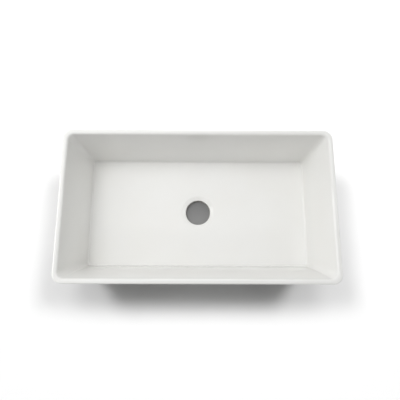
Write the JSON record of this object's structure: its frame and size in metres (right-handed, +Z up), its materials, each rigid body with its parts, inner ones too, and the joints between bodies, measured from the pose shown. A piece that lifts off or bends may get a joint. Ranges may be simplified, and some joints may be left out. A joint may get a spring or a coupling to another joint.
{
  "type": "undermount sink",
  "caption": "White glazed ceramic undermount kitchen sink: deep rectangular bowl with drafted walls, thin rounded rim and central drain, and swing hangers on its outer walls.",
  "frame": {"origin": "on the plane of the base land, under the centre of the drain", "axes": "+X along the long side to the right, +Y from the front to the back, +Z up out of the bowl"},
  "size_m": [0.872, 0.499, 0.236],
  "materials": {
    "glaze": "warm white gloss glaze, bare fired clay on the base land and under it",
    "zinc_plate": "bright zinc plate on pressed mild steel",
    "brass": "plain turned brass",
    "rubber": "black sheet rubber"
  },
  "bodies": {
    "sink": {"bowl": "glaze", "threaded_inserts": "brass", "cushion_pads": "rubber", "flat_washers": "zinc_plate", "hanger_bolts": "zinc_plate"},
    "hanger_front_left": {"hanger_front_left": "zinc_plate"},
    "hanger_front_right": {"hanger_front_right": "zinc_plate"},
    "hanger_right_end": {"hanger_right_end": "zinc_plate"},
    "hanger_back_right": {"hanger_back_right": "zinc_plate"},
    "hanger_back_left": {"hanger_back_left": "zinc_plate"},
    "hanger_left_end": {"hanger_left_end": "zinc_plate"}
  },
  "joints": [
    {"name": "swing_front_left", "type": "hinge", "parent": "sink", "child": "hanger_front_left", "pos_m": [-0.21, -0.2265, 0.131], "axis": [0, -1, 0], "range_deg": [-180, 180]},
    {"name": "swing_front_right", "type": "hinge", "parent": "sink", "child": "hanger_front_right", "pos_m": [0.21, -0.2265, 0.131], "axis": [0, -1, 0], "range_deg": [-180, 180]},
    {"name": "swing_right_end", "type": "hinge", "parent": "sink", "child": "hanger_right_end", "pos_m": [0.413, 0, 0.131], "axis": [1, 0, 0], "range_deg": [-180, 180]},
    {"name": "swing_back_right", "type": "hinge", "parent": "sink", "child": "hanger_back_right", "pos_m": [0.21, 0.2265, 0.131], "axis": [0, 1, 0], "range_deg": [-180, 180]},
    {"name": "swing_back_left", "type": "hinge", "parent": "sink", "child": "hanger_back_left", "pos_m": [-0.21, 0.2265, 0.131], "axis": [0, 1, 0], "range_deg": [-180, 180]},
    {"name": "swing_left_end", "type": "hinge", "parent": "sink", "child": "hanger_left_end", "pos_m": [-0.413, 0, 0.131], "axis": [-1, 0, 0], "range_deg": [-180, 180]}
  ]
}
